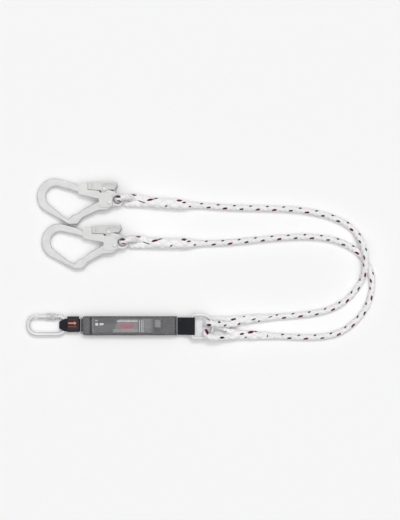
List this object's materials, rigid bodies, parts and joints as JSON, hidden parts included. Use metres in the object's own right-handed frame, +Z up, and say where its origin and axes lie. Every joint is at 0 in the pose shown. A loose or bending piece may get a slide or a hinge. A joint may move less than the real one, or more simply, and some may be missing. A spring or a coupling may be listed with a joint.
{
  "type": "twin leg shock absorbing lanyard",
  "caption": "Rope lanyard with an energy absorber pack: a screw-gate karabiner at the harness end, and a large hook on the end of each rope leg.",
  "frame": {"origin": "on the flat underside of the absorber pack, near its middle", "axes": "+X from the karabiner along the pack towards the D-ring, +Y towards the rope legs and hooks, +Z up off the surface that the lanyard lies on"},
  "size_m": [0.8722, 0.4039, 0.0438],
  "materials": {
    "bright_steel": "bright zinc plated steel, slightly worn",
    "sleeve_steel": "zinc plated, slightly yellowish grey",
    "spring_steel": "drawn spring wire",
    "forged_alloy": "forged, satin light grey",
    "sheet_metal": "folded sheet, satin light grey",
    "white_rope": "three-strand laid white rope with dark and red marker yarns",
    "black_webbing": "woven black webbing",
    "tag_cloth": "black woven tag with a plain orange arrow",
    "tear_webbing": "folded dark webbing",
    "printed_label": null,
    "clear_film": "clear shrink film"
  },
  "bodies": {
    "ropes": {"d_ring": "bright_steel", "upper_hook_eye": "white_rope", "upper_hook_splice": "white_rope", "upper_rope_leg": "white_rope", "upper_ring_splice": "white_rope", "upper_ring_eye": "white_rope", "lower_hook_eye": "white_rope", "lower_hook_splice": "white_rope", "lower_rope_leg": "white_rope", "lower_ring_splice": "white_rope", "lower_ring_eye": "white_rope"},
    "absorber": {"absorber_cover": "clear_film", "absorber_label": "printed_label", "absorber_tear_webbing": "tear_webbing", "harness_loop": "black_webbing", "harness_loop_tag": "tag_cloth", "ring_loop": "black_webbing"},
    "karabiner": {"karabiner_body": "bright_steel", "karabiner_gate_rivet": "bright_steel"},
    "karabiner_gate": {"karabiner_gate": "bright_steel", "karabiner_gate_plunger": "bright_steel", "karabiner_gate_spring": "spring_steel", "karabiner_latch_pin": "bright_steel"},
    "karabiner_sleeve": {"karabiner_locking_sleeve": "sleeve_steel"},
    "upper_hook": {"upper_hook_body": "forged_alloy", "upper_hook_gate_rivet": "bright_steel", "upper_hook_gate_spring": "spring_steel", "upper_hook_lever_rivet": "bright_steel", "upper_hook_lever_spring": "spring_steel"},
    "upper_gate": {"upper_hook_gate": "sheet_metal"},
    "upper_lever": {"upper_hook_lock_lever": "sheet_metal"},
    "lower_hook": {"lower_hook_body": "forged_alloy", "lower_hook_gate_rivet": "bright_steel", "lower_hook_gate_spring": "spring_steel", "lower_hook_lever_rivet": "bright_steel", "lower_hook_lever_spring": "spring_steel"},
    "lower_gate": {"lower_hook_gate": "sheet_metal"},
    "lower_lever": {"lower_hook_lock_lever": "sheet_metal"}
  },
  "joints": [
    {"name": "pack_fold", "type": "hinge", "parent": "ropes", "child": "absorber", "pos_m": [0.1545, 0, 0.0206], "axis": [0, 1, 0], "range_deg": [0, 110]},
    {"name": "karabiner_swing", "type": "hinge", "parent": "absorber", "child": "karabiner", "pos_m": [-0.1835, 0.00125, 0.0092], "axis": [0, 0, 1], "range_deg": [-8, 38]},
    {"name": "karabiner_gate_hinge", "type": "hinge", "parent": "karabiner", "child": "karabiner_gate", "pos_m": [-0.234, 0.023, 0.0092], "axis": [0, 0, 1], "range_deg": [-28, 0], "stiffness_Nm_per_rad": 0.25, "springref_deg": 17.19},
    {"name": "sleeve_travel", "type": "slide", "parent": "karabiner_gate", "child": "karabiner_sleeve", "axis": [1, 0, 0], "range_m": [0, 0.006]},
    {"name": "upper_hook_swing", "type": "hinge", "parent": "ropes", "child": "upper_hook", "pos_m": [-0.0313, 0.3138, 0.02137], "axis": [-0.0719, 0, 0.9974], "range_deg": [-30, 0]},
    {"name": "upper_gate_hinge", "type": "hinge", "parent": "upper_hook", "child": "upper_gate", "pos_m": [-0.05075, 0.306, 0.01997], "axis": [-0.0719, 0, 0.9974], "range_deg": [0, 24], "stiffness_Nm_per_rad": 0.6, "springref_deg": -28.65},
    {"name": "upper_lever_hinge", "type": "hinge", "parent": "upper_hook", "child": "upper_lever", "pos_m": [-0.06471, 0.3401, 0.01897], "axis": [-0.0719, 0, 0.9974], "range_deg": [-10, 0], "stiffness_Nm_per_rad": 0.4, "springref_deg": 17.19},
    {"name": "lower_hook_swing", "type": "hinge", "parent": "ropes", "child": "lower_hook", "pos_m": [-0.0196, 0.2078, 0.02137], "axis": [-0.0718, -0.0031, 0.9974], "range_deg": [0, 30]},
    {"name": "lower_gate_hinge", "type": "hinge", "parent": "lower_hook", "child": "lower_gate", "pos_m": [-0.03869, 0.19916, 0.01997], "axis": [-0.0718, -0.0031, 0.9974], "range_deg": [0, 24], "stiffness_Nm_per_rad": 0.6, "springref_deg": -28.65},
    {"name": "lower_lever_hinge", "type": "hinge", "parent": "lower_hook", "child": "lower_lever", "pos_m": [-0.05413, 0.23262, 0.01897], "axis": [-0.0718, -0.0031, 0.9974], "range_deg": [-10, 0], "stiffness_Nm_per_rad": 0.4, "springref_deg": 17.19}
  ]
}
